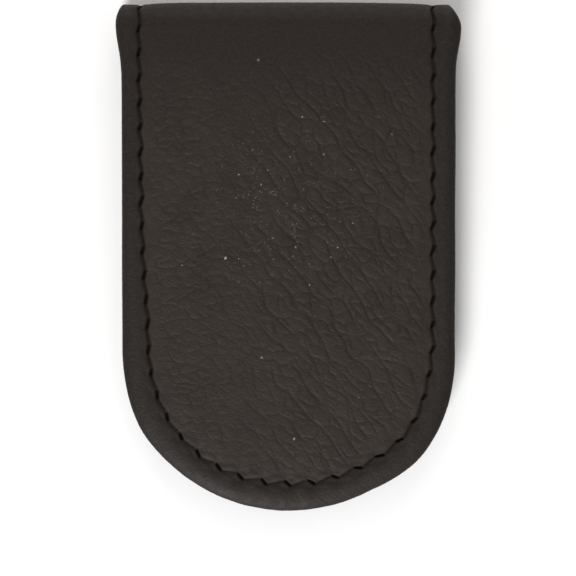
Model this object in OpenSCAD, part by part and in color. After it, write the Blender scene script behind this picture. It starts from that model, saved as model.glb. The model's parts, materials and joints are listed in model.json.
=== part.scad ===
// Magnetic money clip: a leather strip folded once at the top, lined, stiffened and sewn all
// round, with two disc magnets in each flap. It lies on its back flap. The origin is the
// centre of the footprint on the table, +Y points to the fold and +Z to the front flap.

/* [Flaps] */
// Width of each flap
clip_w = 47.3; // [39:0.1:60]
// Length from the outside of the fold to the round ends
clip_len = 72.9; // [58:0.1:92]
// Gap left between the flaps at their round ends
tip_gap = 0.25; // [0.15:0.05:1]

/* [Fold] */
// Inside radius of the fold
fold_inner_r = 1.2; // [0.9:0.05:2.5]
// How far the ears at the fold bulge out past the flaps' side edges
ear_bulge = 0.75; // [0:0.05:1.5]
// Corner radius of the ears
ear_r = 2.2; // [1:0.1:3.5]

/* [Layers] */
// Thickness of the outer leather
outer_t = 0.9; // [0.7:0.05:1.4]
// Thickness of the stiffener board
board_t = 0.6; // [0.4:0.05:1.2]
// Thickness of the turned hem, skived thin, and of the filler beside it
hem_t = 0.5; // [0.3:0.05:0.9]
// How far the turned hem runs past the seam at the round end
hem_past_seam = 0.7; // [0.5:0.1:2]
// Thickness of the lining leather
lining_t = 0.7; // [0.6:0.05:1.2]
// How far the lining's cut edge lies inside the flap's edge
lining_inset = 1.2; // [0.6:0.1:1.6]
// Distance from the fold at which the board and the filler start
board_start = 1.0; // [0.5:0.1:6]

/* [Seam] */
// Distance from the flap's side edge to the seam
seam_inset = 2.9; // [2.4:0.1:3.4]
// Extra distance from the edge at the round end
seam_end_extra = 1.0; // [0:0.1:1.2]
// Length of one stitch, hole to hole
stitch_pitch = 3.5; // [2.5:0.1:5]
// Part of each pitch where the thread dives through the leather
stitch_dive = 0.7; // [0.4:0.1:1.2]
// Thread diameter
thread_d = 0.42; // [0.3:0.02:0.5]

/* [Magnets] */
// Diameter of each disc magnet
magnet_d = 12; // [8:0.5:14.5]
// Gap between the two discs of a flap
magnet_gap = 4; // [1:0.5:5]
// Distance from the flap's round end to the centres of the discs
magnet_from_end = 20; // [18:0.5:26]

/* [Clearances] */
// Gap between the flaps' leather and the leather of the fold
fold_gap = 0.1; // [0.05:0.05:0.3]
// Gap round the board and the filler
fit_gap = 0.05; // [0.02:0.01:0.2]
// Gap round each magnet
magnet_fit = 0.1; // [0.05:0.05:0.3]
// Gap over and under the thread in its groove
thread_gap = 0.03; // [0.02:0.01:0.1]

/* [Hidden] */

core_t = board_t + hem_t;
lining_z = outer_t + core_t;
flap_t = lining_z + lining_t;
fold_outer_r = fold_inner_r + flap_t;
round_r = clip_w / 2;
straight_l = clip_len - fold_outer_r - round_r;
flap_l = straight_l + round_r;
closing_angle = asin((2 * fold_inner_r - tip_gap) / flap_l);
fold_angle = 180 + closing_angle;
fold_y = clip_len / 2 - fold_outer_r;
fold_z = fold_outer_r;
fold_w = clip_w + 2 * ear_bulge;
hem_w = seam_inset + seam_end_extra + hem_past_seam;

seam_x = round_r - seam_inset;
seam_side_l = straight_l - seam_end_extra;
seam_arc_l = PI * seam_x;
seam_l = 2 * seam_side_l + seam_arc_l;
stitch_count = round(seam_l / stitch_pitch);
flap_pitch = seam_l / stitch_count;
thread_depth = thread_gap + thread_d / 2;
groove_depth = thread_d + 2 * thread_gap;
groove_w = 2 * thread_d;
needle_fold_r = fold_outer_r - thread_depth;
bobbin_fold_r = fold_inner_r + thread_depth;
fold_stitch_count = round(needle_fold_r * fold_angle * PI / 180 / stitch_pitch);
fold_stitch_angle = fold_angle / fold_stitch_count;
dive_share = stitch_dive / stitch_pitch;

cut = 1; // how far a cutting solid runs past what it cuts
round_fn = 96;
thread_fn = 16;

outer_colour = [0.22, 0.20, 0.19];
lining_colour = [0.17, 0.155, 0.15];
thread_colour = [0.12, 0.09, 0.08];
board_colour = [0.62, 0.52, 0.40];
filler_colour = [0.45, 0.44, 0.42];
magnet_colour = [0.80, 0.80, 0.82];
tape_colour = [0.30, 0.29, 0.28];

// ---- Flat flap: fold line on y = 0, round end towards -Y, z is the depth below the outer face

// Outline of the flap, drawn in by inset and starting at distance start from the fold line
module flap_plan(inset, start) {
    translate([-(round_r - inset), -straight_l])
        square([2 * (round_r - inset), straight_l - start]);
    translate([0, -straight_l]) circle(r = round_r - inset, $fn = round_fn);
}

module flap_layer(depth, thickness, inset, start) {
    translate([0, 0, depth]) linear_extrude(thickness) flap_plan(inset, start);
}

// Outline of the area inside the seam, grown by grow
module seam_plan(grow, past_fold) {
    translate([-(seam_x + grow), -seam_side_l])
        square([2 * (seam_x + grow), seam_side_l + past_fold]);
    translate([0, -seam_side_l]) circle(r = seam_x + grow, $fn = round_fn);
}

// Groove that the thread lies in, between two depths
module seam_groove(from, to) {
    translate([0, 0, from]) linear_extrude(to - from) difference() {
        seam_plan(groove_w / 2, cut);
        seam_plan(-groove_w / 2, 2 * cut);
    }
}

// Point on the seam at distance s, down the left side, round the end and up the right side
function seam_point(s) =
    s < seam_side_l ? [-seam_x, -s]
    : s > seam_side_l + seam_arc_l ? [seam_x, s - seam_l]
    : let (a = 180 + (s - seam_side_l) / seam_x * 180 / PI)
        [seam_x * cos(a), -seam_side_l + seam_x * sin(a)];

module flap_stitches(depth) {
    for (i = [0 : stitch_count - 1]) {
        from = seam_point(flap_pitch * (i + dive_share / 2));
        to = seam_point(flap_pitch * (i + 1 - dive_share / 2));
        step = to - from;
        translate([from[0], from[1], depth])
            rotate([0, 90, atan2(step[1], step[0])])
                cylinder(h = norm(step), d = thread_d, $fn = thread_fn);
    }
}

// Places children at the centre of the disc magnet on side -1 or 1
module magnet_place(side) {
    translate([side * (magnet_d + magnet_gap) / 2, magnet_from_end - flap_l, 0]) children();
}

module magnet_holes() {
    for (side = [-1, 1]) magnet_place(side)
        cylinder(h = flap_t, d = magnet_d + 2 * magnet_fit, $fn = round_fn);
}

module outer_leather_flap() {
    color(outer_colour) difference() {
        flap_layer(0, lining_z, 0, fold_gap);
        flap_layer(outer_t, board_t, outer_t, -cut);
        flap_layer(outer_t + board_t, hem_t + cut, hem_w, -cut);
        seam_groove(-cut, groove_depth);
    }
}

module stiffener_board_flap() {
    color(board_colour) difference() {
        flap_layer(outer_t, board_t, outer_t + fit_gap, board_start);
        magnet_holes();
    }
}

module filler_flap() {
    color(filler_colour) difference() {
        flap_layer(outer_t + board_t, hem_t, hem_w + fit_gap, board_start);
        magnet_holes();
    }
}

module magnet_flap(side) {
    color(magnet_colour) magnet_place(side) translate([0, 0, outer_t])
        cylinder(h = core_t, d = magnet_d, $fn = round_fn);
}

module lining_flap() {
    color(lining_colour) difference() {
        flap_layer(lining_z, lining_t, lining_inset, fold_gap);
        seam_groove(flap_t - groove_depth, flap_t + cut);
    }
}

module needle_stitches_flap() {
    color(thread_colour) flap_stitches(thread_depth);
}

module bobbin_stitches_flap() {
    color(thread_colour) flap_stitches(flap_t - thread_depth);
}

// ---- Where each flap goes

module back() {
    translate([0, fold_y, 0]) children();
}

module front() {
    translate([0, fold_y, fold_z]) rotate([fold_angle, 0, 0])
        translate([0, 0, -fold_z]) mirror([0, 1, 0]) children();
}

// ---- Fold

// Sweeps children, drawn as [radius, distance along the fold's axis], round the fold
module fold_sweep(from, to) {
    translate([0, fold_y, fold_z]) rotate([0, 90, 0]) rotate([0, 0, from])
        rotate_extrude(angle = to - from, $fn = round_fn) children();
}

module fold_band(inner_r, thickness, width) {
    fold_sweep(0, fold_angle) translate([inner_r, -width / 2]) square([thickness, width]);
}

// Cutter for a band, running a little past both ends of the fold
module fold_cut(inner_r, thickness, middle, width) {
    overrun = 8;
    fold_sweep(-overrun, fold_angle + overrun)
        translate([inner_r, middle - width / 2]) square([thickness, width]);
}

module fold_grooves(inner_r) {
    for (side = [-1, 1]) fold_cut(inner_r, groove_depth, side * seam_x, groove_w);
}

// Upright block whose top corners round off the ears
module ear_block() {
    top = fold_y + fold_outer_r;
    low = fold_y - fold_outer_r;
    linear_extrude(2 * fold_outer_r + cut) {
        translate([-fold_w / 2, low]) square([fold_w, top - ear_r - low]);
        translate([ear_r - fold_w / 2, low]) square([fold_w - 2 * ear_r, top - low]);
        for (side = [-1, 1]) translate([side * (fold_w / 2 - ear_r), top - ear_r])
            circle(r = ear_r, $fn = round_fn);
    }
}

module fold_stitches(radius) {
    for (side = [-1, 1], i = [0 : fold_stitch_count - 1])
        fold_sweep((i + dive_share / 2) * fold_stitch_angle,
                   (i + 1 - dive_share / 2) * fold_stitch_angle)
            translate([radius, side * seam_x]) circle(d = thread_d, $fn = thread_fn);
}

module outer_leather_fold() {
    color(outer_colour) intersection() {
        difference() {
            fold_band(fold_outer_r - lining_z, lining_z, fold_w);
            fold_cut(fold_outer_r - lining_z - cut / 2, core_t + cut / 2, 0, clip_w - 2 * outer_t);
            fold_grooves(fold_outer_r - groove_depth);
        }
        ear_block();
    }
}

module reinforcement_fold() {
    color(tape_colour)
        fold_band(fold_inner_r + lining_t, core_t, clip_w - 2 * outer_t - 2 * fit_gap);
}

module lining_fold() {
    color(lining_colour) difference() {
        fold_band(fold_inner_r, lining_t, clip_w - 2 * lining_inset);
        fold_grooves(fold_inner_r);
    }
}

module needle_stitches_fold() {
    color(thread_colour) fold_stitches(needle_fold_r);
}

module bobbin_stitches_fold() {
    color(thread_colour) fold_stitches(bobbin_fold_r);
}

back() outer_leather_flap();  // back_outer_leather
back() stiffener_board_flap();  // back_stiffener_board
back() filler_flap();  // back_filler
back() magnet_flap(-1);  // back_magnet_left
back() magnet_flap(1);  // back_magnet_right
back() lining_flap();  // back_lining
back() needle_stitches_flap();  // back_needle_stitches
back() bobbin_stitches_flap();  // back_bobbin_stitches
outer_leather_fold();  // spine_outer_leather
reinforcement_fold();  // spine_reinforcement
lining_fold();  // spine_lining
needle_stitches_fold();  // spine_needle_stitches
bobbin_stitches_fold();  // spine_bobbin_stitches
front() outer_leather_flap();  // front_outer_leather
front() stiffener_board_flap();  // front_stiffener_board
front() filler_flap();  // front_filler
front() magnet_flap(-1);  // front_magnet_left
front() magnet_flap(1);  // front_magnet_right
front() lining_flap();  // front_lining
front() needle_stitches_flap();  // front_needle_stitches
front() bobbin_stitches_flap();  // front_bobbin_stitches
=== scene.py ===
"""Looks of a magnetic leather money clip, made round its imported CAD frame.

The clip is one strip: a back flap, a fold and a front flap. Every piece is drawn on a flat half
strip, in millimetres, and then bent into place. On a half strip, x runs across, v runs along from
the line where the flap meets the fold (below 0 on the flap, above 0 round the fold, measured on
the outer face), and depth runs down from the outer face.
"""
import json
import math
from dataclasses import dataclass

import bmesh
import bpy
import numpy as np
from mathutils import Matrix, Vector

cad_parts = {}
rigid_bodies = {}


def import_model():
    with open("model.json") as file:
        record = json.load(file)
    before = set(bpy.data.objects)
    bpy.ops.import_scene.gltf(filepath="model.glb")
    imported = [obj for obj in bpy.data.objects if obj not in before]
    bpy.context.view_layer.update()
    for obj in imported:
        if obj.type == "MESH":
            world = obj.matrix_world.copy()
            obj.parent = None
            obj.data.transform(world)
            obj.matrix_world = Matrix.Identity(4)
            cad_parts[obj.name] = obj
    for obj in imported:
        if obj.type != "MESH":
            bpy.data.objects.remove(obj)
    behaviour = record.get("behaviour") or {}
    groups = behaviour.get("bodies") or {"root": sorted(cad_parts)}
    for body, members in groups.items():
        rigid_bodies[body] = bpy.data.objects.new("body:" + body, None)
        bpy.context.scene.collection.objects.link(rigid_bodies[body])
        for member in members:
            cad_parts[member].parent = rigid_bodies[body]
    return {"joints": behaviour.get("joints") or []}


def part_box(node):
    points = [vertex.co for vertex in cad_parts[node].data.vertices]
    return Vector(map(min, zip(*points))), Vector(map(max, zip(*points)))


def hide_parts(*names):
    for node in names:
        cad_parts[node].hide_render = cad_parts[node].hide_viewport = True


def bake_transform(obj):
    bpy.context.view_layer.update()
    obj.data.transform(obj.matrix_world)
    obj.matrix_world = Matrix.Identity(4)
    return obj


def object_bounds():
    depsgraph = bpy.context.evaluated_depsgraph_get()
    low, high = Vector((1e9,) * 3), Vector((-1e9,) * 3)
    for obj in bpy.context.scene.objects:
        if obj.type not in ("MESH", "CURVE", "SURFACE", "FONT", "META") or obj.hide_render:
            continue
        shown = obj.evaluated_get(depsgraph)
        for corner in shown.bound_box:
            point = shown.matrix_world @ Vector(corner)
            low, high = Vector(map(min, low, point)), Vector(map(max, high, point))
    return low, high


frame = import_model()
cad_low, cad_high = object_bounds()

MM = 0.001
SIDES = ("back", "front")
FIRST_SEED = 7


# ---- Sizes, in millimetres, from the frame ----

def corners(node):
    low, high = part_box(node)
    return np.array(low) / MM, np.array(high) / MM


leather_low, leather_high = corners("back_outer_leather")
board_low, board_high = corners("back_stiffener_board")
filler_low, filler_high = corners("back_filler")
lining_low, lining_high = corners("back_lining")
stitch_low, stitch_high = corners("back_needle_stitches")
spine_low, spine_high = corners("spine_outer_leather")

HALF_W = leather_high[0]
OUTER_T = board_low[2]
HEM_DEPTH = filler_low[2]
HEM_W = HALF_W - filler_high[0]
LINING_DEPTH = lining_low[2]
LINING_INSET = HALF_W - lining_high[0]
FLAP_T = lining_high[2]
THREAD_R = (stitch_high[2] - stitch_low[2]) / 2
OUTER_R = spine_high[2] / 2
FOLD_Y = spine_high[1] - OUTER_R
FOLD_Z = OUTER_R
STRAIGHT_L = FOLD_Y - leather_low[1] - HALF_W

hinges = [np.array(joint["pos_m"]) / MM for joint in frame["joints"]]
HALF_FOLD = math.atan2(hinges[1][2] - hinges[0][2], hinges[1][1] - hinges[0][1])
HALF_FOLD_L = HALF_FOLD * OUTER_R

# The seam runs down the left side of a flap, round its end and up the right side
STITCH_L = 3.5
HALF_FOLD_STITCHES = 1.5
SEAM_X = stitch_high[0] - THREAD_R
SEAM_SIDE_L = FOLD_Y - stitch_low[1] - SEAM_X - THREAD_R
SEAM_ARC_L = math.pi * SEAM_X
SEAM_L = 2 * SEAM_SIDE_L + SEAM_ARC_L
STITCHES = round(SEAM_L / STITCH_L)
PITCH = SEAM_L / STITCHES
FOLD_PITCH = HALF_FOLD_L / HALF_FOLD_STITCHES


# ---- Curves and random fields ----

def smooth(low, high, value):
    """0 below low, 1 above high, with a smooth rise between."""
    t = np.clip((value - low) / (high - low), 0, 1)
    return t * t * (3 - 2 * t)


def bell(value, middle, width):
    return np.exp(-((value - middle) / width) ** 2)


def lopsided_bell(value, middle, width_below, width_above):
    return bell(value, middle, np.where(value < middle, width_below, width_above))


# Large odd numbers that spread neighbouring whole numbers apart
MIX_X, MIX_Y, MIX_SEED, MIX_AGAIN = 374761393, 668265263, 974634777, 1274126177
LOW_32_BITS = 0xFFFFFFFF


def lattice(ix, iy, seed):
    """A repeatable random number from 0 to 1 for each pair of whole numbers."""
    mixed = ix.astype(np.int64) * MIX_X + iy.astype(np.int64) * MIX_Y + seed * MIX_SEED
    mixed = (mixed ^ (mixed >> 13)) & LOW_32_BITS
    mixed = (mixed * MIX_AGAIN) & LOW_32_BITS
    mixed = (mixed ^ (mixed >> 16)) & LOW_32_BITS
    return mixed / LOW_32_BITS


def hills(x, y, size, seed):
    """Soft noise from -1 to 1 whose hills are about size across."""
    gx, gy = x / size, y / size
    ix, iy = np.floor(gx), np.floor(gy)
    fx, fy = smooth(0, 1, gx - ix), smooth(0, 1, gy - iy)
    low = lattice(ix, iy, seed) * (1 - fx) + lattice(ix + 1, iy, seed) * fx
    top = lattice(ix, iy + 1, seed) * (1 - fx) + lattice(ix + 1, iy + 1, seed) * fx
    return 2 * (low * (1 - fy) + top * fy) - 1


# ---- The flat half strip ----

@dataclass
class Columns:
    """Lines that run outward from the middle of a half strip and cross the seam."""
    phase: np.ndarray     # place on the seam in stitches, with a needle hole at each whole number
    tau: np.ndarray       # the same in millimetres
    middle_v: np.ndarray  # where the line starts, on x = 0
    dir_x: np.ndarray
    dir_v: np.ndarray
    seam: np.ndarray      # distance from the start to the seam
    in_arc: np.ndarray    # true round the end, where all lines start at one point


def seam_length_at(phase):
    in_fold = np.minimum(phase, 0) + np.maximum(phase - STITCHES, 0)
    return np.clip(phase, 0, STITCHES) * PITCH + in_fold * FOLD_PITCH


def phase_at(tau):
    in_fold = np.minimum(tau, 0) + np.maximum(tau - SEAM_L, 0)
    return np.clip(tau, 0, SEAM_L) / PITCH + in_fold / FOLD_PITCH


def seam_point(tau):
    """x and v of the seam at tau."""
    along = np.clip(tau, 0, SEAM_L)
    turned = np.clip((along - SEAM_SIDE_L) / SEAM_X, 0, math.pi)
    beyond = np.maximum(along - SEAM_SIDE_L - SEAM_ARC_L, 0)
    in_fold = np.maximum(-tau, 0) + np.maximum(tau - SEAM_L, 0)
    x = -SEAM_X * np.cos(turned)
    v = beyond - np.minimum(along, SEAM_SIDE_L) - SEAM_X * np.sin(turned) + in_fold
    return x, v


def seam_wander(tau, side):
    """How far outside its true line the seam was sewn. It is followed down the left, so on the
    back flap, which is turned over, it is followed from its other end."""
    t = tau if side == "front" else SEAM_L - tau
    left_and_right = 0.3 * (1 - smooth(0, 25, t)) - 0.22 * smooth(45, 62, t)
    lower_left = -0.95 * bell(t, 45, 11)
    bottom = -0.25 * bell(t, 76, 7)
    lower_right = 0.75 * bell(t, 96, 6)
    return left_and_right + lower_left + bottom + lower_right


def columns_at(tau, side):
    x, v = seam_point(tau)
    middle_v = np.maximum(v, -STRAIGHT_L)
    true_seam = np.hypot(x, v - middle_v)
    seam = true_seam + seam_wander(tau, side)
    return Columns(phase_at(tau), tau, middle_v, x / true_seam, (v - middle_v) / true_seam, seam,
                   v < -STRAIGHT_L)


def half_strip_columns(side, per_stitch):
    steps = round((STITCHES + 2 * HALF_FOLD_STITCHES) * per_stitch)
    last = STITCHES + HALF_FOLD_STITCHES
    return columns_at(seam_length_at(np.linspace(-HALF_FOLD_STITCHES, last, steps + 1)), side)


def on_plan(columns, reach):
    """x and v of points at a distance reach along their columns."""
    return columns.dir_x * reach, columns.middle_v + columns.dir_v * reach


def world_x(x, side):
    """Seen from its own outer face each flap has its round end at the bottom, so x is turned
    over on the back one."""
    return x if side == "front" else -x


def from_middle(v):
    """Distance along the half strip from the middle of the fold."""
    return HALF_FOLD_L - v


def unrolled(x, v, side):
    """Place on the whole strip laid flat: across, and along from the middle of the fold."""
    return world_x(x, side), from_middle(v) if side == "back" else -from_middle(v)


def fold_sag(x, v):
    """How much lower the fold is towards its sides than at its middle."""
    sag, at_x, steepness = 0.24, 22, 2.4
    near_fold = 1 - smooth(2, 9, from_middle(v))
    return sag * np.minimum(np.abs(x) / at_x, 1.1) ** steepness * near_fold


def bend_into_place(x, v, depth, side):
    """Flat half strip to the frame, in metres."""
    turn = np.maximum(v, 0) / OUTER_R
    radius = OUTER_R - depth - fold_sag(x, v)
    y = np.minimum(v, 0) + radius * np.sin(turn)
    z = -radius * np.cos(turn)
    if side == "front":
        cos, sin = math.cos(2 * HALF_FOLD), math.sin(2 * HALF_FOLD)
        y, z = -y * cos - z * sin, z * cos - y * sin
    return np.stack(np.broadcast_arrays(world_x(x, side), FOLD_Y + y, FOLD_Z + z), -1) * MM


def ear_bulge(across, v):
    """How far the side edges stand out at the fold, on the left and the right."""
    from_fold = from_middle(v)
    left = 0.86 * lopsided_bell(from_fold, 5.6, 5.0, 4.3)
    right = 0.82 * lopsided_bell(from_fold, 6.2, 3.0, 3.8) - 0.5 * bell(from_fold, 0, 2.4)
    return np.where(across < 0, left, right)


def end_bulge(degrees):
    """How far the hand-cut round end stands out past a half circle, from its right to its left."""
    lower_right = 0.98 * lopsided_bell(degrees, 38, 28, 15)
    bottom = -0.28 * bell(degrees, 95, 38)
    lower_left = 0.4 * bell(degrees, 152, 14)
    return lower_right + bottom + lower_left


def edge_of(columns, side):
    """Distance of the flap's edge from the start of each column."""
    across = world_x(columns.dir_x, side)
    ears = np.where(columns.in_arc, 0, ear_bulge(across, columns.middle_v))
    return HALF_W + ears + end_bulge(np.degrees(np.arctan2(-columns.dir_v, across)))


# ---- Needle holes ----

@dataclass
class Holes:
    """Slanted slits, one at each whole phase, and the zigzag that the thread takes past them."""
    tau: np.ndarray
    slant: np.ndarray
    half: np.ndarray      # half the length of each slit
    wedge: np.ndarray     # how much wider each slit is at its far end
    knot_tau: np.ndarray
    knot_n: np.ndarray    # the zigzag's distance outside the seam at each knot_tau


def needle_holes(seed):
    """No two holes are quite alike. Round the end the slits are shorter and slant more."""
    rng = np.random.default_rng(seed)
    number = np.arange(-1, STITCHES + 2)
    tau = seam_length_at(number)
    round_end = np.clip((-seam_point(tau)[1] - SEAM_SIDE_L) / SEAM_X, 0, 1)
    tau = tau + rng.uniform(-0.09, 0.09, len(number))
    slant = np.radians(17 + 22 * round_end ** 4 + rng.uniform(-5, 5, len(number)))
    half = (0.7 - 0.12 * round_end) * rng.uniform(0.86, 1.14, len(number))
    wedge = rng.uniform(-0.3, 0.5, len(number))
    ahead, aside = half * np.cos(slant), half * np.sin(slant)
    ends = np.stack([tau - ahead, tau + ahead], 1).ravel()
    offsets = np.stack([-aside, aside], 1).ravel()
    first, last = seam_length_at(np.array([-HALF_FOLD_STITCHES, STITCHES + HALF_FOLD_STITCHES]))
    return Holes(tau, slant, half, wedge,
                 np.concatenate([[first], ends, [last]]), np.concatenate([[0], offsets, [0]]))


def at_seam(columns, reach, holes):
    """How far each point lies in the thread's groove, in a needle hole and on the lips at the
    hole's ends, all from 0 to 1."""
    n = reach - columns.seam
    groove = bell(n, np.interp(columns.tau, holes.knot_tau, holes.knot_n), 0.24)
    nearest = np.clip(np.round(columns.phase), -1, STITCHES + 1).astype(int) + 1
    ahead = columns.tau - holes.tau[nearest]
    cos, sin = np.cos(holes.slant[nearest]), np.sin(holes.slant[nearest])
    along_slit = (ahead * cos + n * sin) / holes.half[nearest]
    across_slit = n * cos - ahead * sin
    slit_w = 0.13 + 0.045 * smooth(4, 16, from_middle(columns.middle_v))
    slit_w = slit_w * (1 + holes.wedge[nearest] * np.clip(along_slit, -1, 1))
    hole = np.exp(-along_slit ** 6) * bell(across_slit, 0, slit_w)
    lips = bell(np.abs(along_slit), 1.35, 0.3) * bell(across_slit, 0, 0.26)
    return groove, hole, lips


# ---- Relief of the faces ----

@dataclass
class Relief:
    height: np.ndarray  # above the plain face
    grain: np.ndarray   # share of the leather's grain that shows, from 0 to 1
    painted_shade: np.ndarray  # how far inside a groove or a hole, from 0 to 1: how much painted shade darkens the colour there
    rim: np.ndarray     # 1 outside the seam and 0 inside it; the outer leather's colour paints shade where it is 1


def outer_height(columns, n, end_share, seam_parts):
    """The thread pulls the leather down along the seam and makes it swell beside each stitch,
    more so round the end."""
    groove, hole, lips = seam_parts
    pull = 0.28 - 0.1 * end_share + 0.05 * np.cos(2 * math.pi * columns.phase)
    swell = (0.03 + 0.07 * end_share) * np.cos(2 * math.pi * (columns.phase - 0.5))
    beside_seam = bell(np.abs(n), 0.72, 0.34)
    broad_dip = 0.12 * bell(n, 0, 1.5) + 0.08 * np.exp(-np.abs(n) / 4)
    raised = swell * beside_seam + (0.07 + 0.05 * end_share) * lips
    return raised - broad_dip - pull * groove - 0.28 * hole


def outer_relief(columns, reach, holes, side):
    x, v = on_plan(columns, reach)
    n = reach - columns.seam
    seam_parts = at_seam(columns, reach, holes)
    groove, hole, _ = seam_parts
    end_share = np.clip(-columns.dir_v, 0, 1)
    across, along = unrolled(x, v, side)
    from_fold = np.abs(along)
    ripples = hills(columns.phase * 2.2, reach * 0.5, size=1, seed=52)
    rim_ripple = 0.05 * ripples * smooth(0.3, 1.2, n)
    waviness = 0.04 * hills(across, along, size=8, seed=51) - 0.04
    height = outer_height(columns, n, end_share, seam_parts) + end_share * rim_ripple + waviness
    grain_inside = smooth(6, 17, from_fold) * (1 - 0.3 * smooth(42, 60, from_fold))
    grain = grain_inside * smooth(0.25, 2.4, -n) + 0.2 * smooth(0.8, 1.5, n)
    # Painted shade in bands beside the seam, outside it all round and inside it round the end;
    # with the groove and the slits it darkens the colour.
    shade_outside = (0.1 + 0.16 * end_share) * bell(n, 0.75, 0.6)
    shade_inside = 0.14 * end_share * bell(n, -0.8, 0.8)
    painted_shade = (0.45 - 0.28 * end_share) * groove + 1.2 * hole + shade_outside + shade_inside
    return Relief(height, grain, np.clip(painted_shade, 0, 1), smooth(-0.2, 0.5, n))


def lining_relief(columns, reach, holes, side):
    """The lining has a fine grain, the seam's groove, and small tucks inside the fold."""
    x, v = on_plan(columns, reach)
    n = reach - columns.seam
    groove, hole, _ = at_seam(columns, reach, holes)
    across, along = unrolled(x, v, side)
    coarse = hills(across, along, size=0.8, seed=61)
    fine = hills(along, across, size=0.45, seed=62)
    grain = 0.01 * (coarse + 0.6 * fine)
    tuck_l = 1.35
    sway = 0.3 * hills(across, along, size=5, seed=63)
    tucks = np.sin(2 * math.pi * (along / tuck_l + sway))
    in_fold = 1 - smooth(2.5, 6.5, np.abs(along))
    seam_dip = 0.08 * bell(n, 0, 1.1) + 0.22 * groove + 0.15 * hole
    height = grain + 0.035 * in_fold * (tucks - 1) - seam_dip
    # The groove and the holes give the lining's painted shade.
    return Relief(height, np.ones_like(n), np.clip(0.5 * groove + hole, 0, 1), 0 * n)


# ---- Cross-sections, as rows of points from the middle to the edge and back underneath ----

@dataclass
class Section:
    reach: np.ndarray   # distance of each point from the start of its column
    depth: np.ndarray
    out: np.ndarray     # which way each row faces: out to the edge, and up to the outer face
    up: np.ndarray
    relief: np.ndarray  # share of the relief that the row takes


def section(columns, rows):
    """Rows are tuples of reach, depth, out, up and relief."""
    plan = [np.broadcast_to(row[0], columns.phase.shape) for row in rows]
    depth, out, up, relief = (np.array([row[k] for row in rows], float)[:, None]
                              for k in (1, 2, 3, 4))
    return Section(np.array(plan, float), depth, out, up, relief)


SEAM_BAND = 1.2                     # half the width of the finely drawn band along the seam
RIM_DROP = 1.1                      # from the top of the rim down to its outermost line
UNDER_R = LINING_DEPTH - RIM_DROP   # radius of the rim from there down to the hem


def face_rows(columns, count, depth, up):
    """From the middle to the band along the seam."""
    return [(share * (columns.seam - SEAM_BAND), depth, 0, up, 1)
            for share in np.linspace(0, 1, count, endpoint=False)]


def rim_rows(edge, shoulder):
    """Over the rim, whose round top begins a shoulder's width inside the edge, and under it."""
    rows = []
    for t in np.linspace(0, math.pi / 2, 12)[1:]:
        reach = edge - shoulder * (1 - math.sin(t))
        rows.append((reach, RIM_DROP * (1 - math.cos(t)), math.sin(t), math.cos(t), 1))
    for t in np.linspace(math.pi / 2, math.pi, 7)[1:]:
        reach = edge + UNDER_R * (math.sin(t) - 1)
        rows.append((reach, RIM_DROP - UNDER_R * math.cos(t), math.sin(t), math.cos(t), 0.5))
    return rows


def hem_rows(edge):
    """Along the hem to where it ends, and back inside it to the leather's inner face."""
    turns = [(1.4, LINING_DEPTH), (3.0, LINING_DEPTH), (HEM_W, LINING_DEPTH), (HEM_W, HEM_DEPTH),
             (OUTER_T, HEM_DEPTH), (OUTER_T, OUTER_T), (HALF_W / 2, OUTER_T)]
    rows = [(edge - inset, depth, 0, -1, 0) for inset, depth in turns]
    return [*rows, (0, OUTER_T, 0, -1, 0)]


def outer_leather_section(columns, side):
    """The leather covers the flap, turns round the rim and ends in a hem under the lining."""
    edge = edge_of(columns, side)
    crest, least_crest_w = 0.95, 0.3
    in_fold = 1 - smooth(3.5, 10, from_middle(columns.middle_v))
    shoulder = (edge - columns.seam - crest - least_crest_w) * (1 - 0.6 * in_fold)
    crest_w = edge - shoulder - columns.seam - crest
    across_band = [*np.linspace(-SEAM_BAND, -0.62, 4), *np.linspace(-0.5, 0.5, 13),
                   0.62, 0.78, crest]
    rows = face_rows(columns, count=88, depth=0, up=1)
    rows += [(columns.seam + n, 0, 0, 1, 1) for n in across_band]
    rows += [(edge - shoulder - share * crest_w, 0, 0, 1, 1) for share in (0.6, 0.3, 0)]
    return section(columns, [*rows, *rim_rows(edge, shoulder), *hem_rows(edge)])


def lining_section(columns, side):
    """A plain sheet with a cut edge. Its shown face is the one where depth is largest."""
    edge = edge_of(columns, side) - LINING_INSET
    corner = 0.16
    across_band = [*np.linspace(-SEAM_BAND, -0.6, 4), *np.linspace(-0.48, 0.48, 9), 0.62, 0.8]
    rows = face_rows(columns, count=44, depth=FLAP_T, up=-1)
    rows += [(columns.seam + n, FLAP_T, 0, -1, 1) for n in across_band]
    for t in np.linspace(0, math.pi / 2, 5):
        reach = edge - corner * (1 - math.sin(t))
        rows.append((reach, FLAP_T - corner * (1 - math.cos(t)), math.sin(t), -math.cos(t), 1))
    rows += [(edge, LINING_DEPTH + corner / 2, 1, 0, 0),
             (edge - corner / 2, LINING_DEPTH, 0, 1, 0),
             (edge / 2, LINING_DEPTH, 0, 1, 0),
             (0, LINING_DEPTH, 0, 1, 0)]
    return section(columns, rows)


# ---- Nodes ----

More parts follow.
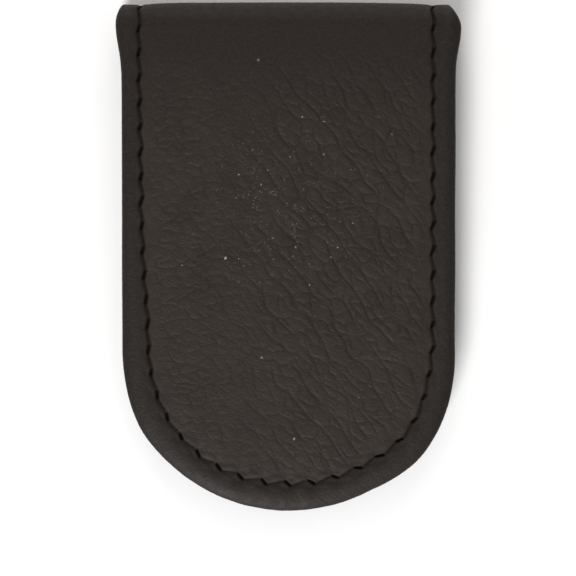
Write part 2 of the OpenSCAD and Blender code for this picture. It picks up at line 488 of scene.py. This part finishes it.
class Nodes:
    """Short calls that add nodes to a tree, of a material, a world or geometry nodes."""

    def __init__(self, tree):
        self.tree = tree

    def node(self, kind, inputs, **settings):
        made = self.tree.nodes.new(kind if kind.startswith("Geometry") else "ShaderNode" + kind)
        for key, value in settings.items():
            setattr(made, key, value)
        for key, value in inputs.items():
            if isinstance(value, bpy.types.NodeSocket):
                self.tree.links.new(value, made.inputs[key])
            else:
                made.inputs[key].default_value = value
        return made

    def math(self, operation, a, b=0.0):
        return self.node("Math", {0: a, 1: b}, operation=operation).outputs[0]

    def times(self, a, b):
        return self.math("MULTIPLY", a, b)

    def largest(self, *values):
        most = values[0]
        for value in values[1:]:
            most = self.math("MAXIMUM", most, value)
        return most

    def vector(self, operation, a, b):
        return self.node("VectorMath", {0: a, 1: b}, operation=operation).outputs["Vector"]

    def measure(self, operation, a, b):
        """One number from two vectors."""
        return self.node("VectorMath", {0: a, 1: b}, operation=operation).outputs["Value"]

    def scaled(self, vector, factor):
        inputs = {"Vector": vector, "Scale": factor}
        return self.node("VectorMath", inputs, operation="SCALE").outputs["Vector"]

    def split(self, vector):
        return self.node("SeparateXYZ", {0: vector}).outputs

    def span(self, value, low, high, to_low=0.0, to_high=1.0, kind="LINEAR"):
        """Value, moved from between low and high to between to_low and to_high."""
        inputs = {"Value": value, "From Min": low, "From Max": high,
                  "To Min": to_low, "To Max": to_high}
        return self.node("MapRange", inputs, interpolation_type=kind).outputs["Result"]

    def mix(self, factor, a, b):
        """Between two colours."""
        return self.node("Mix", {0: factor, 6: a, 7: b}, data_type="RGBA").outputs[2]

    def between(self, factor, a, b):
        """Between two numbers."""
        return self.node("Mix", {0: factor, 2: a, 3: b}, data_type="FLOAT").outputs[0]

    def noise(self, vector, size, detail=2, roughness=0.5):
        inputs = {"Vector": vector, "Scale": 1 / size, "Detail": detail, "Roughness": roughness}
        return self.node("TexNoise", inputs).outputs["Fac"]

    def warp(self, vector, size, amount):
        """The place, pushed about by noise."""
        inputs = {"Vector": vector, "Scale": 1 / size, "Detail": 1}
        push = self.node("TexNoise", inputs).outputs["Color"]
        push = self.vector("SUBTRACT", push, (0.5, 0.5, 0.5))
        push = self.vector("MULTIPLY", push, (2 * amount, 2 * amount, 0))
        return self.vector("ADD", vector, push)

    def cells(self, vector, size):
        """Distance to the nearest of scattered points, in cells, and the cell's random colour."""
        made = self.node("TexVoronoi", {"Vector": vector, "Scale": 1 / size})
        return made.outputs["Distance"], made.outputs["Color"]

    def pebble_borders(self, vector, long, wide, degrees):
        """Distance in millimetres to the border of pebbles that are long by wide, and turned."""
        turn = math.radians(degrees)
        ahead, aside = (math.cos(turn), math.sin(turn), 0), (-math.sin(turn), math.cos(turn), 0)
        u = self.math("DIVIDE", self.measure("DOT_PRODUCT", vector, ahead), long)
        w = self.math("DIVIDE", self.measure("DOT_PRODUCT", vector, aside), wide)
        inputs = {"Vector": self.node("CombineXYZ", {0: u, 1: w}).outputs[0], "Scale": 1}
        made = self.node("TexVoronoi", inputs, voronoi_dimensions="2D",
                         feature="DISTANCE_TO_EDGE")
        return self.times(made.outputs["Distance"], math.sqrt(long * wide))

    def wrinkle_lines(self, vector, spacing, degrees):
        """Distance in millimetres to the nearest of parallel lines."""
        turn = math.radians(degrees)
        aside = (-math.sin(turn), math.cos(turn), 0)
        return self.math("PINGPONG", self.measure("DOT_PRODUCT", vector, aside), spacing / 2)


def leather_creases(nodes, strip, half_width):
    """The outer leather's creases, from 0 to 1, and how high its pebbles stand between them,
    from 0 to 1. Pebbles lie level on the left and slant on the right, under long wrinkles."""
    across = nodes.split(nodes.warp(strip, size=9, amount=5))[0]
    on_right = nodes.span(across, -13, 1)
    place = nodes.warp(nodes.warp(strip, size=3, amount=0.9), size=0.9, amount=0.22)
    level = nodes.pebble_borders(place, long=2.3, wide=1.3, degrees=4)
    slanting = nodes.pebble_borders(place, long=2.6, wide=1.45, degrees=-40)
    net = nodes.between(on_right, nodes.span(level, half_width, 0),
                        nodes.span(slanting, half_width, 0))
    shown = nodes.noise(strip, size=1.7, detail=1)
    shown = nodes.span(shown, 0.36, 0.6, to_low=0.12, to_high=0.8)
    net = nodes.times(net, nodes.times(shown, nodes.between(on_right, 0.72, 1.0)))
    place = nodes.warp(nodes.warp(strip, size=7, amount=2.0), size=2, amount=0.25)
    lines = nodes.wrinkle_lines(place, spacing=2.6, degrees=-54)
    kept = nodes.span(nodes.noise(strip, size=4.2, detail=1), 0.36, 0.5)
    kept = nodes.times(kept, nodes.between(on_right, 0.15, 1.0))
    wrinkles = nodes.times(nodes.span(lines, 1.35 * half_width, 0), kept)
    domes = nodes.span(nodes.between(on_right, level, slanting), 0, 0.6, kind="SMOOTHSTEP")
    return nodes.largest(net, wrinkles), domes


def emboss(piece):
    """Presses the leather's creases into the mesh, where its material draws them."""
    crease_half_w, crease_depth, dome_height = 0.32, 0.08, 0.03
    group = bpy.data.node_groups.new("emboss", "GeometryNodeTree")
    for in_out in ("INPUT", "OUTPUT"):
        group.interface.new_socket("Geometry", in_out=in_out, socket_type="NodeSocketGeometry")
    nodes = Nodes(group)
    start, end = group.nodes.new("NodeGroupInput"), group.nodes.new("NodeGroupOutput")
    strip, grain = (nodes.node("GeometryNodeInputNamedAttribute", {"Name": name},
                               data_type=kind).outputs[0]
                    for name, kind in (("strip", "FLOAT_VECTOR"), ("grain", "FLOAT")))
    creases, domes = leather_creases(nodes, strip, crease_half_w)
    sunk = nodes.times(creases, -crease_depth * MM)
    raised = nodes.times(domes, dome_height * MM)
    height = nodes.times(nodes.math("ADD", sunk, raised), grain)
    normal = nodes.node("GeometryNodeInputNormal", {}).outputs[0]
    offset = nodes.scaled(normal, height)
    moved = nodes.node("GeometryNodeSetPosition", {"Geometry": start.outputs[0], "Offset": offset})
    group.links.new(moved.outputs[0], end.inputs[0])
    piece.modifiers.new("emboss", "NODES").node_group = group
    depsgraph = bpy.context.evaluated_depsgraph_get()
    pressed = bpy.data.meshes.new_from_object(piece.evaluated_get(depsgraph))
    piece.modifiers.clear()
    piece.data = pressed
    return piece


# ---- Meshes ----

def vertex_numbers(columns, shape):
    """Which vertex each point of a section uses. Near the middle of the round end, rows skip
    columns that would crowd, and the left and right halves share the points on x = 0."""
    last = len(columns.phase) - 1
    c = np.arange(last + 1)
    arc_start = int(np.argmax(columns.in_arc))
    smallest_radius = 0.4
    numbers = np.empty(shape.reach.shape, int)
    for i, reach in enumerate(shape.reach):
        radius = max(reach[last // 2], smallest_radius)
        skip = 2 ** max(math.floor(math.log2(HALF_W / radius)), 0)
        keep = np.where(columns.in_arc, arc_start + (c - arc_start) // skip * skip, c)
        if reach[last // 2] == 0:
            keep = np.where(columns.in_arc, arc_start, np.minimum(c, last - c))
        numbers[i] = i * (last + 1) + keep
    return numbers


def faces_of(numbers):
    """Quads between neighbouring rows and columns, some of them narrowed to triangles, and apart
    from them the flat face that closes the mesh at the middle of the fold."""
    quads = np.stack([numbers[:-1, :-1], numbers[:-1, 1:], numbers[1:, 1:], numbers[1:, :-1]], -1)
    quads = quads.reshape(-1, 4)
    same = quads == np.roll(quads, -1, axis=1)
    faces = quads[same.sum(1) == 0].tolist()
    narrow = same.sum(1) == 1
    faces += quads[narrow][~same[narrow]].reshape(-1, 3).tolist()
    cut = [*numbers[:, 0].tolist(), *numbers[-2:0:-1, -1].tolist()]
    return faces, cut


def add_fields(mesh, **fields):
    """Named values on the vertices, which the materials read."""
    for name, values in fields.items():
        is_vector = values.ndim == 2
        kind = "FLOAT_VECTOR" if is_vector else "FLOAT"
        attribute = mesh.attributes.new(name, kind, "POINT")
        key = "vector" if is_vector else "value"
        attribute.data.foreach_set(key, values.astype(np.float32).ravel())


def new_piece(name, points, faces, material, **fields):
    """A smooth closed mesh. Faces of more than 4 corners are flat and have sharp edges."""
    mesh = bpy.data.meshes.new(name)
    mesh.from_pydata(points.tolist(), [], faces)
    bm = bmesh.new()
    bm.from_mesh(mesh)
    bmesh.ops.recalc_face_normals(bm, faces=bm.faces)
    for face in bm.faces:
        face.smooth = True
    flat = [face for face in bm.faces if len(face.verts) > 4]
    for face in flat:
        for edge in face.edges:
            edge.smooth = False
    bmesh.ops.triangulate(bm, faces=flat)
    bm.to_mesh(mesh)
    bm.free()
    add_fields(mesh, **fields)
    mesh.materials.append(material)
    piece = bpy.data.objects.new(name, mesh)
    bpy.context.scene.collection.objects.link(piece)
    return piece


def skin(name, columns, shape, relief, side, material):
    """A closed half strip from its cross-sections and their relief."""
    height = relief.height * shape.relief
    reach = shape.reach + height * shape.out
    depth = shape.depth - height * shape.up
    x, v = on_plan(columns, reach)
    across, along = unrolled(x, v, side)
    numbers = vertex_numbers(columns, shape)
    used, packed = np.unique(numbers, return_inverse=True)
    faces, cut = faces_of(packed.reshape(numbers.shape))
    shown = shape.relief > 0
    fields = {"strip": np.stack([across, along, depth], -1).reshape(-1, 3),
              "grain": (relief.grain * shown).ravel(),
              "painted_shade": (relief.painted_shade * shown).ravel(),
              "rim": (relief.rim * shown).ravel(),
              "edge": np.broadcast_to(shape.out, reach.shape).ravel()}
    points = bend_into_place(x, v, depth, side).reshape(-1, 3)
    return new_piece(name, points[used], [*faces, cut], material,
                     **{key: values[used] for key, values in fields.items()})


def outer_leather(side, holes, material):
    columns = half_strip_columns(side, per_stitch=16)
    shape = outer_leather_section(columns, side)
    relief = outer_relief(columns, shape.reach, holes, side)
    return emboss(skin(f"{side}_leather_skin", columns, shape, relief, side, material))


def lining(side, holes, material):
    columns = half_strip_columns(side, per_stitch=10)
    shape = lining_section(columns, side)
    relief = lining_relief(columns, shape.reach, holes, side)
    return skin(f"{side}_lining_skin", columns, shape, relief, side, material)


# ---- Tubes and tapes ----

PLIES = 3
PLY_DEPTH = 0.16                  # of the thread's radius
PLY_TWIST = 2 * math.pi / 1.5     # a full turn in 1.5 mm
THREAD_SLACK = 0.92               # share of the CAD thread's radius
RING_POINTS = 12
STITCH_RINGS = 22


def tube_faces(grid):
    """Faces of a closed tube whose rings of vertex numbers are the rows of grid."""
    turned = np.roll(grid, -1, axis=1)
    sides = np.stack([grid[:-1], turned[:-1], turned[1:], grid[1:]], -1)
    return [*sides.reshape(-1, 4).tolist(), grid[0].tolist(), grid[-1].tolist()]


def stitch_ends(holes):
    """From where to where on tau each stitch runs. It starts and ends inside a slit."""
    dive = 0.8 * holes.half * np.cos(holes.slant)
    starts = [holes.knot_tau[0], *(holes.tau + dive)]
    ends = [*(holes.tau - dive), holes.knot_tau[-1]]
    return list(zip(starts, ends))


def cord(tau, depth, holes, side):
    """Rings round one stitch's centre line, and where they lie on the unwound cord."""
    around = np.linspace(0, 2 * math.pi, RING_POINTS, endpoint=False)
    columns = columns_at(tau, side)
    x, v = on_plan(columns, columns.seam + np.interp(tau, holes.knot_tau, holes.knot_n))
    ahead_x, ahead_v = np.gradient(x), np.gradient(v)
    length = np.hypot(ahead_x, ahead_v)
    ridges = np.cos(PLIES * (around - PLY_TWIST * tau[:, None]))
    r = THREAD_SLACK * THREAD_R * (1 + PLY_DEPTH * ridges) / (1 + PLY_DEPTH)
    aside = r * np.cos(around)
    ring_x = x[:, None] - aside * (ahead_v / length)[:, None]
    ring_v = v[:, None] + aside * (ahead_x / length)[:, None]
    ring_depth = depth[:, None] - r * np.sin(around)
    unwound = np.broadcast_arrays(around * THREAD_R, tau[:, None])
    return bend_into_place(ring_x, ring_v, ring_depth, side), unwound


def thread(name, side, holes, lies_at, dives_to, material):
    """All stitches of one thread on a half strip, each a three-ply cord from slit to slit."""
    t = np.linspace(0, 1, STITCH_RINGS)
    points, faces, strip = [], [], []
    spans = stitch_ends(holes)
    for k, (start, end) in enumerate(spans):
        tau = start + (end - start) * t
        before = np.maximum(1 - 2 * t, 0) * (k > 0)
        after = np.maximum(2 * t - 1, 0) * (k < len(spans) - 1)
        depth = lies_at + (dives_to - lies_at) * (before + after) ** 6
        rings, (round_it, along) = cord(tau, depth, holes, side)
        grid = np.arange(along.size).reshape(along.shape)
        faces += tube_faces(grid + k * along.size)
        points.append(rings.reshape(-1, 3))
        strip.append(np.stack([round_it, along, np.full(along.shape, k)], -1).reshape(-1, 3))
    return new_piece(name, np.concatenate(points), faces, material, strip=np.concatenate(strip))


def fold_tape(side, material):
    """Half of the woven tape that reinforces the fold, between the leather and the lining."""
    low, high = corners("spine_reinforcement")
    clear = 0.05
    top, bottom = OUTER_T + clear, LINING_DEPTH - 2 * clear
    x = np.linspace(low[0], high[0], 40)
    v = np.linspace(clear, HALF_FOLD_L, 12)
    rise = np.linspace(bottom, top, 6)[1:-1]
    loop_x = np.concatenate([x, np.full(rise.size, x[-1]), x[::-1], np.full(rise.size, x[0])])
    loop_depth = np.concatenate([np.full(x.size, top), rise[::-1], np.full(x.size, bottom), rise])
    ring_x, ring_v = np.meshgrid(loop_x, v)
    points = bend_into_place(ring_x, ring_v, loop_depth, side).reshape(-1, 3)
    across, along = unrolled(ring_x, ring_v, side)
    depth = np.broadcast_to(loop_depth, across.shape)
    grid = np.arange(ring_x.size).reshape(ring_x.shape)
    return new_piece(f"{side}_fold_tape", points, tube_faces(grid), material,
                     strip=np.stack([across, along, depth], -1).reshape(-1, 3))


# ---- Materials, with all sizes in millimetres ----

def srgb(red, green, blue):
    """A colour from its 0 to 255 values to the shader's linear ones."""
    linear = [((c / 255 + 0.055) / 1.055) ** 2.4 if c > 10 else c / 255 / 12.92
              for c in (red, green, blue)]
    return (*linear, 1)


class Surface(Nodes):
    """A material with a Principled shader."""

    def __init__(self, name, specular=0.5, metallic=0.0):
        self.material = bpy.data.materials.new(name)
        self.material.use_nodes = True
        super().__init__(self.material.node_tree)
        self.shader = self.tree.nodes["Principled BSDF"]
        self.shader.inputs["Specular IOR Level"].default_value = specular
        self.shader.inputs["Metallic"].default_value = metallic

    def field(self, name):
        return self.node("Attribute", {}, attribute_name=name).outputs["Fac"]

    def strip(self):
        """Place on the unrolled strip."""
        return self.node("Attribute", {}, attribute_name="strip").outputs["Vector"]

    def place(self):
        """Place in the frame, for the pieces that keep their CAD mesh."""
        return self.scaled(self.node("TexCoord", {}).outputs["Object"], 1 / MM)

    def bump(self, height, depth, under=None):
        inputs = {"Height": height, "Distance": depth * MM, "Strength": 1.0}
        if under is not None:
            inputs["Normal"] = under
        return self.node("Bump", inputs).outputs["Normal"]

    def finish(self, colour, roughness, normal):
        for key, value in (("Base Color", colour), ("Roughness", roughness), ("Normal", normal)):
            self.tree.links.new(value, self.shader.inputs[key])
        return self.material


DUST_MIDDLE = (0, -31, 0)   # on the strip: a little above the middle of the front face


def specks(s, strip, cell, radius, share):
    """Scattered ragged spots. Share is the part of the cells that have one."""
    distance, chance = s.cells(s.warp(strip, size=0.3, amount=0.12), cell)
    chosen = s.math("LESS_THAN", s.split(chance)[0], share)
    return s.times(s.span(distance, radius / cell, 0.5 * radius / cell), chosen)


def dust(s, strip):
    """Fine clouds and spots, thickest round DUST_MIDDLE, and a few larger flecks everywhere."""
    away = s.measure("DISTANCE", s.warp(strip, size=6, amount=6), DUST_MIDDLE)
    powder = s.span(s.noise(strip, size=0.38, roughness=0.8), 0.6, 0.7)
    patches = s.span(s.noise(strip, size=1.8), 0.5, 0.6)
    clouds = s.times(s.times(powder, patches), s.span(away, 14, 4, to_low=0.05, to_high=0.4))
    spot_share = s.span(away, 14, 2, to_low=0.01, to_high=0.3)
    spots = s.times(specks(s, strip, cell=1.0, radius=0.12, share=spot_share), 0.6)
    flecks = s.times(specks(s, strip, cell=4.5, radius=0.24, share=0.3), 0.8)
    return s.largest(clouds, spots, flecks)


def leather_colour(s, strip):
    """Nearly black brown, with painted shade that makes it darker and browner near the fold,
    darker outside the seam and darker on the rim's outer face along the sides. At the edge of the
    round end it is greyer and lighter, partly wear and partly a painted highlight."""
    from_fold = s.math("ABSOLUTE", s.split(strip)[1])
    mottle = s.span(s.noise(strip, size=5, detail=5), 0.35, 0.65)
    colour = s.mix(mottle, srgb(37, 31, 27), srgb(42, 36, 31))
    # Painted shade near the fold: darker and a little browner.
    near_fold = s.span(from_fold, 9, 22, to_low=0.95, to_high=0)
    colour = s.mix(near_fold, colour, srgb(31, 25, 22))
    # Painted shade on the rim outside the seam.
    colour = s.mix(s.times(s.field("rim"), 0.8), colour, srgb(30, 25, 21))
    # The rim's outer face: painted shade along the sides; at the round end a greyer, lighter
    # colour, partly wear and partly a painted highlight.
    wear_and_sheen = s.span(from_fold, 60, 71)
    edge_shade_and_sheen = s.mix(wear_and_sheen, srgb(25, 21, 19), srgb(37, 33, 33))
    colour = s.mix(s.times(s.field("edge"), 0.7), colour, edge_shade_and_sheen)
    speckle = s.noise(strip, size=0.45, detail=3, roughness=0.7)
    return s.mix(s.span(speckle, 0.4, 0.7, to_high=0.16), colour, srgb(66, 59, 53))


def leather_normal(s, strip, grain, creases):
    """Noise, pores, a fine net of lines, and the creases."""
    pores, _ = s.cells(strip, size=0.42)
    net = s.pebble_borders(s.warp(strip, size=0.7, amount=0.2), long=0.9, wide=0.6, degrees=-25)
    net = s.times(s.span(net, 0, 0.16), s.span(grain, 0, 1, to_low=0.6))
    normal = s.bump(s.noise(strip, size=0.22, detail=3), depth=0.02)
    normal = s.bump(s.span(pores, 0.1, 0.6), depth=0.012, under=normal)
    normal = s.bump(net, depth=0.016, under=normal)
    return s.bump(s.math("SUBTRACT", 1.0, creases), depth=0.04, under=normal)


def outer_leather_material():
    """Smooth near the fold, with creases elsewhere, painted shade in the creases and the slits,
    and a little dust.
    """
    s = Surface("outer_leather", specular=0.16)
    strip, grain, painted_shade = s.strip(), s.field("grain"), s.field("painted_shade")
    creases, _ = leather_creases(s, strip, half_width=0.2)
    creases = s.times(creases, grain)
    # Painted shade in the creases.
    colour = s.mix(s.times(creases, 0.5), leather_colour(s, strip), srgb(19, 15, 12))
    colour = s.mix(s.times(dust(s, strip), grain), colour, srgb(165, 159, 148))
    # Painted shade in the thread's groove, the needle slits and the bands beside the seam.
    colour = s.mix(painted_shade, colour, srgb(6, 4, 3))
    rough = s.span(s.noise(strip, size=1.1, detail=3), 0.3, 0.7, to_low=0.5, to_high=0.62)
    rough = s.math("ADD", rough, s.times(creases, 0.12))
    rough = s.between(painted_shade, rough, 1.0)
    return s.finish(colour, rough, leather_normal(s, strip, grain, creases))


def lining_material():
    """Thin matt leather with a fine grain and a paler, fibrous cut edge."""
    s = Surface("lining_leather", specular=0.35)
    strip = s.strip()
    mottle = s.span(s.noise(strip, size=6, detail=4), 0.35, 0.65)
    colour = s.mix(mottle, srgb(33, 29, 27), srgb(40, 36, 33))
    fibres = s.noise(s.vector("MULTIPLY", strip, (1, 1, 4)), size=0.5, detail=4)
    raw = s.mix(s.span(fibres, 0.35, 0.65), srgb(38, 31, 26), srgb(66, 54, 45))
    colour = s.mix(s.field("edge"), colour, raw)
    # Painted shade in the thread's groove and the needle slits.
    colour = s.mix(s.times(s.field("painted_shade"), 0.9), colour, srgb(12, 9, 8))
    grain, _ = s.cells(strip, size=0.5)
    fine = s.bump(s.noise(strip, size=0.2, detail=3), depth=0.015)
    rough = s.span(s.noise(strip, size=1.4, detail=3), 0.3, 0.7, to_low=0.62, to_high=0.76)
    return s.finish(colour, rough, s.bump(grain, depth=0.02, under=fine))


def thread_material():
    """Waxed dark reddish brown thread with fine fibres along its plies."""
    s = Surface("thread", specular=0.1)
    strip = s.strip()
    fibres = s.noise(s.vector("MULTIPLY", strip, (1, 0.25, 1)), size=0.06, detail=3)
    wear_and_sheen = s.span(s.noise(strip, size=2.3), 0.35, 0.65)
    colour = s.mix(wear_and_sheen, srgb(21, 15, 12), srgb(29, 21, 17))
    colour = s.mix(s.span(fibres, 0.4, 0.7, to_high=0.5), colour, srgb(16, 11, 10))
    rough = s.span(fibres, 0.3, 0.7, to_low=0.65, to_high=0.8)
    return s.finish(colour, rough, s.bump(fibres, depth=0.02))


def fibreboard_material():
    s = Surface("fibreboard", specular=0.3)
    flecks = s.noise(s.vector("MULTIPLY", s.place(), (1, 0.3, 1)), size=0.5, detail=4)
    colour = s.mix(s.span(flecks, 0.35, 0.65), srgb(158, 132, 98), srgb(196, 172, 136))
    rough = s.span(flecks, 0.3, 0.7, to_low=0.75, to_high=0.9)
    return s.finish(colour, rough, s.bump(flecks, depth=0.03))


def felt_material():
    s = Surface("felt_filler", specular=0.15)
    hairs = s.noise(s.place(), size=0.35, detail=6, roughness=0.7)
    colour = s.mix(s.span(hairs, 0.35, 0.65), srgb(88, 86, 82), srgb(136, 134, 128))
    rough = s.span(hairs, 0.3, 0.7, to_low=0.88, to_high=0.98)
    return s.finish(colour, rough, s.bump(hairs, depth=0.08))


def nickel_material():
    s = Surface("nickel_plate", metallic=1.0)
    place = s.place()
    clouds = s.noise(place, size=2.5, detail=5)
    colour = s.mix(s.span(clouds, 0.3, 0.7), srgb(186, 184, 178), srgb(208, 206, 202))
    scratches = s.noise(s.vector("MULTIPLY", place, (0.15, 1, 1)), size=0.12)
    rough = s.span(clouds, 0.3, 0.7, to_low=0.22, to_high=0.36)
    return s.finish(colour, rough, s.bump(scratches, depth=0.004))


def tape_material():
    """Plain weave: ridges across and along, taken in turns."""
    s = Surface("reinforcement_tape", specular=0.25)
    yarn_w = 0.35
    across, along, _ = s.split(s.strip())
    warp = s.math("SINE", s.times(across, math.pi / yarn_w))
    weft = s.math("SINE", s.times(along, math.pi / yarn_w))
    weave = s.span(s.times(warp, weft), -1, 1)
    colour = s.mix(weave, srgb(52, 49, 46), srgb(84, 80, 76))
    rough = s.span(weave, 0, 1, to_low=0.9, to_high=0.8)
    return s.finish(colour, rough, s.bump(weave, depth=0.05))


# ---- The clip ----

# Two radii of the fold for each piece: at the flap, and at the middle. The second is no more than
# the piece's smallest.
OUTER_BEND = (3.0, 1.6)
INNER_BEND = (1.4, 0.9)

NEEDLE_DEPTHS = (0.5, 0.85)                     # where the thread lies, and where it dives to
BOBBIN_DEPTHS = (FLAP_T - 0.3, FLAP_T - 0.6)


def bend_with_fold(piece, side):
    """Bakes the piece's transform into its mesh, the same on either side."""
    if side == "back":
        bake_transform(piece)
    else:
        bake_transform(piece)


def make_half_strip(side, seed, materials):
    holes = needle_holes(seed)
    needle, bobbin = (thread(f"{side}_{name}_thread", side, holes, *depths, materials["thread"])
                      for name, depths in (("needle", NEEDLE_DEPTHS), ("bobbin", BOBBIN_DEPTHS)))
    leather = outer_leather(side, holes, materials["outer_leather"])
    inner = lining(side, holes, materials["lining_leather"])
    pieces = (
        (leather, "outer_leather", "outer_leather", OUTER_BEND),
        (inner, "lining", "lining_leather", INNER_BEND),
        (needle, "needle_stitches", "thread", OUTER_BEND),
        (bobbin, "bobbin_stitches", "thread", INNER_BEND),
    )
    for piece, cad_name, slot, radii in pieces:
        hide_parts(f"{side}_{cad_name}", f"spine_{cad_name}")
        bend_with_fold(piece, side)
    tape = fold_tape(side, materials["reinforcement_tape"])
    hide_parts("spine_reinforcement")
    bend_with_fold(tape, side)


def finish_inner_parts(side, materials):
    """The CAD pieces inside each flap keep their shapes."""
    finishes = {"stiffener_board": "fibreboard", "filler": "felt_filler",
                "magnet_left": "nickel_plate", "magnet_right": "nickel_plate"}
    for node, finish in finishes.items():
        part = bpy.data.objects[f"{side}_{node}"]
        part.data.materials.clear()
        part.data.materials.append(materials[finish])


# ---- Floor, light and camera ----

def make_floor():
    mesh = bpy.data.meshes.new("floor")
    half, level = 1.5, -0.0002
    corners_xy = ((-half, -half), (half, -half), (half, half), (-half, half))
    mesh.from_pydata([(x, y, level) for x, y in corners_xy], [], [(0, 1, 2, 3)])
    s = Surface("floor", specular=0.1)
    tone = s.span(s.noise(s.place(), size=40), 0.3, 0.7)
    colour = s.mix(tone, srgb(236, 236, 236), srgb(238, 238, 238))
    s.shader.inputs["Roughness"].default_value = 0.9
    s.tree.links.new(colour, s.shader.inputs["Base Color"])
    mesh.materials.append(s.material)
    floor = bpy.data.objects.new("floor", mesh)
    bpy.context.scene.collection.objects.link(floor)


def make_world():
    """A soft room, a little brighter overhead than round the horizon."""
    at_horizon, overhead = 0.34, 0.46
    world = bpy.data.worlds.new("studio")
    world.use_nodes = True
    bpy.context.scene.world = world
    nodes = Nodes(world.node_tree)
    direction = nodes.node("TexCoord", {}).outputs["Generated"]
    up = nodes.split(direction)[2]
    strength = nodes.span(up, 0.1, 0.8, to_low=at_horizon, to_high=overhead)
    background = world.node_tree.nodes["Background"].inputs
    background["Color"].default_value = (1, 1, 1, 1)
    world.node_tree.links.new(strength, background["Strength"])


def add_light(name, place, size, power, colour=(1, 1, 1)):
    """A square lamp, place and size in metres, that faces the clip."""
    light = bpy.data.lights.new(name, "AREA")
    light.size = size
    light.energy = power
    light.color = colour
    lamp = bpy.data.objects.new(name, light)
    lamp.location = place
    lamp.rotation_euler = (-Vector(place)).to_track_quat("-Z", "Y").to_euler()
    lamp.visible_camera = False
    bpy.context.scene.collection.objects.link(lamp)


def make_camera():
    """Straight above, upright with the fold at the top."""
    view_w, lens = 0.0823, 120
    centre_y = -0.0044
    data = bpy.data.cameras.new("camera")
    data.lens = lens
    camera = bpy.data.objects.new("camera", data)
    distance = view_w * lens / data.sensor_width
    camera.location = (0, centre_y, cad_high[2] / 2 + distance)
    bpy.context.scene.collection.objects.link(camera)
    bpy.context.scene.camera = camera


MATERIALS = {
    "outer_leather": outer_leather_material(),
    "lining_leather": lining_material(),
    "thread": thread_material(),
    "fibreboard": fibreboard_material(),
    "felt_filler": felt_material(),
    "nickel_plate": nickel_material(),
    "reinforcement_tape": tape_material(),
}
for seed, side in enumerate(SIDES, start=FIRST_SEED):
    make_half_strip(side, seed, MATERIALS)
    finish_inner_parts(side, MATERIALS)

make_camera()
make_floor()
make_world()
add_light("key", place=(-0.18, -0.57, 0.5), size=0.3, power=7)
add_light("fold_light", place=(0.0, 0.6, 0.25), size=0.5, power=1.9, colour=(1, 0.94, 0.88))
bpy.context.scene.view_settings.view_transform = "Standard"
